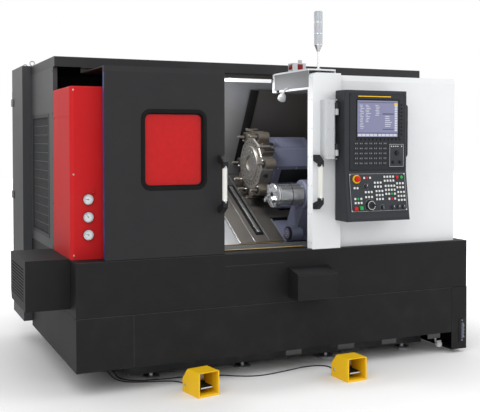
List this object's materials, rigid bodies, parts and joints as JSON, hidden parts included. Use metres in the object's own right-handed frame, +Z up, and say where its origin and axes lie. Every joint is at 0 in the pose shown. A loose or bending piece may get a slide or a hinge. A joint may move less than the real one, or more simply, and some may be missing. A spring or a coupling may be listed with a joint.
{
  "type": "cnc turning lathe",
  "caption": "Slant-bed CNC turning lathe with sliding door, turret, counter spindle, swivelling control pendant, rear cabinet and foot pedals",
  "frame": {"origin": "middle of the footprint without the cables, at the floor", "axes": "+X along the front to the operator's right, +Y to the back, +Z up"},
  "size_m": [3.28, 2.402, 2.543],
  "materials": {
    "charcoal_enamel": "fine textured enamel",
    "door_grey_enamel": "satin enamel",
    "panel_grey_enamel": "satin enamel",
    "red_enamel": "gloss enamel",
    "white_enamel": "satin enamel",
    "light_grey_enamel": "satin enamel",
    "yellow_enamel": "satin enamel",
    "slate_enamel": "satin enamel",
    "cast_bed": "painted casting with ground ways",
    "ground_steel": "ground and oiled",
    "stainless_cover": "brushed sheet",
    "bright_steel": "polished",
    "black_plastic": "matte",
    "white_plastic": "matte",
    "dark_display": "gloss",
    "desk_plate": "matte film",
    "window_pane": "tinted safety glass",
    "lens": "clear lens",
    "button_red": "gloss",
    "button_green": "gloss",
    "cable_rubber": "matte",
    "zinc_plate": "zinc plated",
    "sill_brass": "worn strip"
  },
  "bodies": {
    "frame": {"bed_casting": "cast_bed", "levelling_feet": "zinc_plate", "base_upper_cover": "charcoal_enamel", "base_lower_cover": "charcoal_enamel", "base_end_block": "charcoal_enamel", "coolant_box": "charcoal_enamel", "side_panel": "panel_grey_enamel", "red_cover": "red_enamel", "pressure_gauges": "black_plastic", "front_left_wall": "panel_grey_enamel", "right_enclosure": "white_enamel", "right_post": "white_enamel", "post_handle_brackets": "black_plastic", "post_handle_grip": "white_plastic", "rear_wall": "panel_grey_enamel", "roof": "light_grey_enamel", "door_tracks": "sill_brass", "interlock_switch": "black_plastic", "work_light": "lens", "tower_pole": "bright_steel", "signal_lamp": "lens", "front_hood": "charcoal_enamel", "pendant_arm": "light_grey_enamel", "headstock": "cast_bed", "fixed_way_covers": "stainless_cover", "chip_tray": "stainless_cover", "spindle_motor": "cast_bed", "cabinet_shell": "panel_grey_enamel", "drive_rack": "zinc_plate", "cable_glands": "black_plastic", "pedal_guards": "yellow_enamel", "pedal_cable_left": "cable_rubber", "pedal_cable_right": "cable_rubber"},
    "door": {"left_door": "door_grey_enamel", "window_frame": "charcoal_enamel", "window_glass": "window_pane", "door_handle_brackets": "black_plastic", "door_handle_grip": "white_plastic"},
    "main_spindle": {"spindle": "ground_steel", "main_chuck": "ground_steel", "chuck_jaws": "ground_steel"},
    "carriage": {"saddle": "cast_bed", "moving_way_cover": "stainless_cover"},
    "cross": {"cross_slide": "slate_enamel", "turret_housing": "slate_enamel"},
    "turret": {"turret_disc": "ground_steel", "tool_holders": "bright_steel"},
    "counter_slide": {"tailstock": "slate_enamel"},
    "counter_chuck": {"tail_chuck": "ground_steel"},
    "pendant": {"pendant_case": "white_enamel", "display_unit": "dark_display", "operator_panel": "desk_plate"},
    "stop_button": {"e_stop_button": "button_red"},
    "pulse_wheel": {"handwheel": "black_plastic"},
    "start_button": {"cycle_start_button": "button_green"},
    "hold_button": {"feed_hold_button": "button_red"},
    "feed_knob": {"override_knob": "black_plastic"},
    "rear_door": {"cabinet_door": "panel_grey_enamel"},
    "pedal_left": {"treadle_left": "black_plastic"},
    "pedal_right": {"treadle_right": "black_plastic"}
  },
  "joints": [
    {"name": "door_slide", "type": "slide", "parent": "frame", "child": "door", "axis": [1, 0, 0], "range_m": [0, 0.66]},
    {"name": "spindle_turn", "type": "hinge", "parent": "frame", "child": "main_spindle", "pos_m": [-0.548, -0.402, 1.208], "axis": [1, 0, 0], "continuous": true},
    {"name": "carriage_slide", "type": "slide", "parent": "frame", "child": "carriage", "axis": [1, 0, 0], "range_m": [-0.4, 0.04]},
    {"name": "cross_slide_feed", "type": "slide", "parent": "carriage", "child": "cross", "axis": [0, 0.866, 0.5], "range_m": [-0.16, 0]},
    {"name": "turret_index", "type": "hinge", "parent": "cross", "child": "turret", "pos_m": [0.212, -0.00536, 1.437], "axis": [1, 0, 0], "continuous": true},
    {"name": "counter_slide_feed", "type": "slide", "parent": "frame", "child": "counter_slide", "axis": [1, 0, 0], "range_m": [-0.08, 0.3]},
    {"name": "counter_spindle_turn", "type": "hinge", "parent": "counter_slide", "child": "counter_chuck", "pos_m": [0.442, -0.402, 1.208], "axis": [1, 0, 0], "continuous": true},
    {"name": "pendant_swing", "type": "hinge", "parent": "frame", "child": "pendant", "pos_m": [0.445, -0.927, 1.487], "axis": [0, 0, 1], "range_deg": [-80, 0]},
    {"name": "stop_press", "type": "slide", "parent": "pendant", "child": "stop_button", "axis": [0, 0.99, -0.141], "range_m": [0, 0.005], "stiffness_N_per_m": 4000},
    {"name": "wheel_turn", "type": "hinge", "parent": "pendant", "child": "pulse_wheel", "pos_m": [0.65227, -1.03487, 1.16321], "axis": [0, -0.99, 0.141], "continuous": true},
    {"name": "start_press", "type": "slide", "parent": "pendant", "child": "start_button", "axis": [0, 0.99, -0.141], "range_m": [0, 0.003], "stiffness_N_per_m": 3000},
    {"name": "hold_press", "type": "slide", "parent": "pendant", "child": "hold_button", "axis": [0, 0.99, -0.141], "range_m": [0, 0.003], "stiffness_N_per_m": 3000},
    {"name": "feed_knob_turn", "type": "hinge", "parent": "pendant", "child": "feed_knob", "pos_m": [0.7516, -1.03713, 1.14729], "axis": [0, -0.99, 0.141], "range_deg": [-150, 150]},
    {"name": "rear_door_swing", "type": "hinge", "parent": "frame", "child": "rear_door", "pos_m": [-1.417, 1.194, 0.2], "axis": [0, 0, 1], "range_deg": [0, 110]},
    {"name": "pedal_left_press", "type": "hinge", "parent": "frame", "child": "pedal_left", "pos_m": [-0.60745, -0.95015, 0.052], "axis": [0.9816, 0.1908, 0], "range_deg": [0, 10], "stiffness_Nm_per_rad": 20},
    {"name": "pedal_right_press", "type": "hinge", "parent": "frame", "child": "pedal_right", "pos_m": [0.44615, -1.03598, 0.052], "axis": [0.9976, 0.0698, 0], "range_deg": [0, 10], "stiffness_Nm_per_rad": 20}
  ]
}
